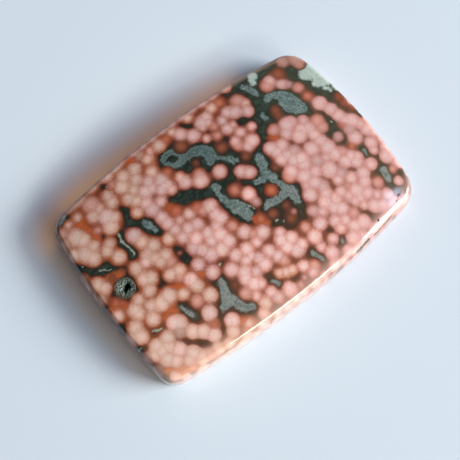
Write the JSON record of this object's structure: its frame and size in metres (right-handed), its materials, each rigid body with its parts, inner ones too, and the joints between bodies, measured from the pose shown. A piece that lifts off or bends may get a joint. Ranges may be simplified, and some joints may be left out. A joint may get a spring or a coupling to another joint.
{
  "type": "ocean jasper cabochon",
  "caption": "Polished orbicular jasper stone: a low dome over a bowed, rounded rectangle with a flat back and a small druzy hollow in its face.",
  "frame": {"origin": "on the flat back, under the middle of the outline's box", "axes": "+X along the length, away from the druzy hollow, +Y across the width, +Z out of the domed face"},
  "size_m": [0.042, 0.029, 0.006],
  "materials": {
    "jasper": "polished",
    "druzy": "crystalline"
  },
  "bodies": {
    "root": {"stone": "jasper", "druzy_crust": "druzy"}
  },
  "joints": []
}
